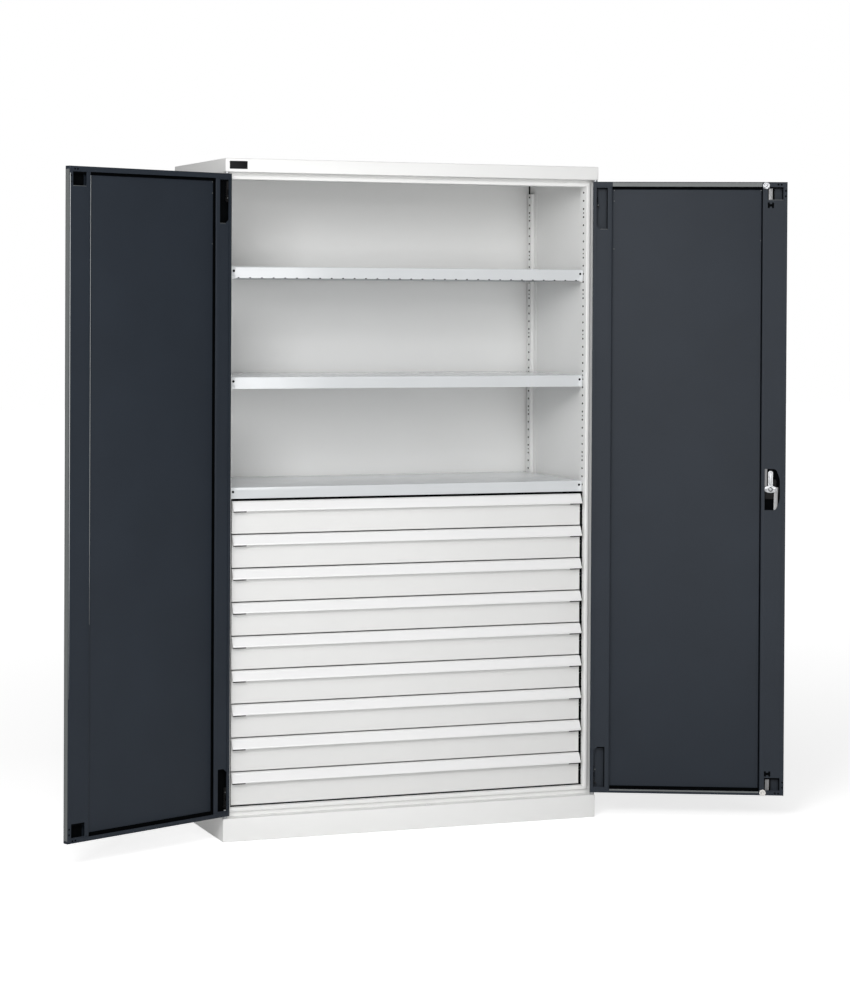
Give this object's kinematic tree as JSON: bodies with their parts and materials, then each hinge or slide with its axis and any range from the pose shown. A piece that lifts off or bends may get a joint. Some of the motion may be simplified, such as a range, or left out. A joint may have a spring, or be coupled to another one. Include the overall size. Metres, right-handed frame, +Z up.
{
  "type": "workshop cabinet",
  "caption": "Tall two-door workshop cabinet with shelves over a bank of drawers, a perforated frame and a lock that drives rods into the cap and the plinth.",
  "frame": {"origin": "on the floor, in the middle of the carcass's footprint, on the underside of the plinth's cross rail", "axes": "+Z up, +Y towards the cabinet's back, +X to the right as seen from the front"},
  "size_m": [2.2559, 0.8095, 2],
  "materials": {
    "white_paint": "satin powder coat",
    "dark_paint": "fine textured powder coat",
    "zinc_sheet": "zinc-coated sheet",
    "grip_paint": "satin powder coat",
    "bright_steel": "zinc-plated",
    "black_plastic": "moulded, satin"
  },
  "bodies": {
    "carcass": {"plinth": "white_paint", "cap": "white_paint", "left_jamb": "white_paint", "right_jamb": "white_paint", "bottom_rail": "white_paint", "top_rail": "white_paint", "left_side": "white_paint", "right_side": "white_paint", "back_panel": "white_paint", "bottom_panel": "white_paint", "left_post": "white_paint", "right_post": "white_paint", "upper_shelf": "zinc_sheet", "middle_shelf": "zinc_sheet", "lower_shelf": "zinc_sheet", "left_runner_rack": "zinc_sheet", "right_runner_rack": "zinc_sheet", "label_plate": "black_plastic", "lower_left_hinge_pin": "bright_steel", "upper_left_hinge_pin": "bright_steel", "lower_right_hinge_pin": "bright_steel", "upper_right_hinge_pin": "bright_steel"},
    "left_door": {"left_door_skin": "dark_paint", "left_door_liner": "dark_paint", "left_hinge_stile": "dark_paint", "left_lock_stile": "dark_paint"},
    "right_door": {"right_door_skin": "dark_paint", "right_door_liner": "dark_paint", "right_hinge_stile": "dark_paint", "right_lock_stile": "dark_paint", "lock_case": "black_plastic", "door_magnet": "bright_steel", "door_buffer": "bright_steel"},
    "lock": {"lock_knob": "black_plastic", "lock_cam": "bright_steel"},
    "key": {"key_plug": "bright_steel"},
    "upper_lock_rod": {"upper_rod": "bright_steel"},
    "lower_lock_rod": {"lower_rod": "bright_steel"},
    "drawer_1": {"drawer_1_tray": "white_paint", "drawer_1_grip": "grip_paint"},
    "drawer_2": {"drawer_2_tray": "white_paint", "drawer_2_grip": "grip_paint"},
    "drawer_3": {"drawer_3_tray": "white_paint", "drawer_3_grip": "grip_paint"},
    "drawer_4": {"drawer_4_tray": "white_paint", "drawer_4_grip": "grip_paint"},
    "drawer_5": {"drawer_5_tray": "white_paint", "drawer_5_grip": "grip_paint"},
    "drawer_6": {"drawer_6_tray": "white_paint", "drawer_6_grip": "grip_paint"},
    "drawer_7": {"drawer_7_tray": "white_paint", "drawer_7_grip": "grip_paint"},
    "drawer_8": {"drawer_8_tray": "white_paint", "drawer_8_grip": "grip_paint"},
    "drawer_9": {"drawer_9_tray": "white_paint", "drawer_9_grip": "grip_paint"}
  },
  "joints": [
    {"name": "left_door_hinge", "type": "hinge", "parent": "carcass", "child": "left_door", "pos_m": [-0.588, -0.273, 0], "axis": [0, 0, -1], "range_deg": [-155.4, 0]},
    {"name": "right_door_hinge", "type": "hinge", "parent": "carcass", "child": "right_door", "pos_m": [0.588, -0.273, 0], "axis": [0, 0, 1], "range_deg": [-155.4, 0]},
    {"name": "drawer_1_slide", "type": "slide", "parent": "carcass", "child": "drawer_1", "axis": [0, -1, 0], "range_m": [0, 0.32]},
    {"name": "drawer_2_slide", "type": "slide", "parent": "carcass", "child": "drawer_2", "axis": [0, -1, 0], "range_m": [0, 0.32]},
    {"name": "drawer_3_slide", "type": "slide", "parent": "carcass", "child": "drawer_3", "axis": [0, -1, 0], "range_m": [0, 0.32]},
    {"name": "drawer_4_slide", "type": "slide", "parent": "carcass", "child": "drawer_4", "axis": [0, -1, 0], "range_m": [0, 0.32]},
    {"name": "drawer_5_slide", "type": "slide", "parent": "carcass", "child": "drawer_5", "axis": [0, -1, 0], "range_m": [0, 0.32]},
    {"name": "drawer_6_slide", "type": "slide", "parent": "carcass", "child": "drawer_6", "axis": [0, -1, 0], "range_m": [0, 0.32]},
    {"name": "drawer_7_slide", "type": "slide", "parent": "carcass", "child": "drawer_7", "axis": [0, -1, 0], "range_m": [0, 0.32]},
    {"name": "drawer_8_slide", "type": "slide", "parent": "carcass", "child": "drawer_8", "axis": [0, -1, 0], "range_m": [0, 0.32]},
    {"name": "drawer_9_slide", "type": "slide", "parent": "carcass", "child": "drawer_9", "axis": [0, -1, 0], "range_m": [0, 0.32]},
    {"name": "lock_turn", "type": "hinge", "parent": "right_door", "child": "lock", "pos_m": [1.07908, -0.49783, 1.0155], "axis": [0.4163, 0.9092, 0], "range_deg": [0, 90]},
    {"name": "key_turn", "type": "hinge", "parent": "lock", "child": "key", "pos_m": [1.07908, -0.49783, 1.0155], "axis": [0.4163, 0.9092, 0], "range_deg": [0, 90]},
    {"name": "upper_rod_slide", "type": "slide", "parent": "right_door", "child": "upper_lock_rod", "axis": [0, 0, 1], "range_m": [0, 0.017]},
    {"name": "lower_rod_slide", "type": "slide", "parent": "right_door", "child": "lower_lock_rod", "axis": [0, 0, -1], "range_m": [0, 0.017]}
  ],
  "couplings": [
    {"joint": "upper_rod_slide", "follows": "lock_turn", "m_per_rad": 0.010823},
    {"joint": "lower_rod_slide", "follows": "lock_turn", "m_per_rad": 0.010823}
  ]
}
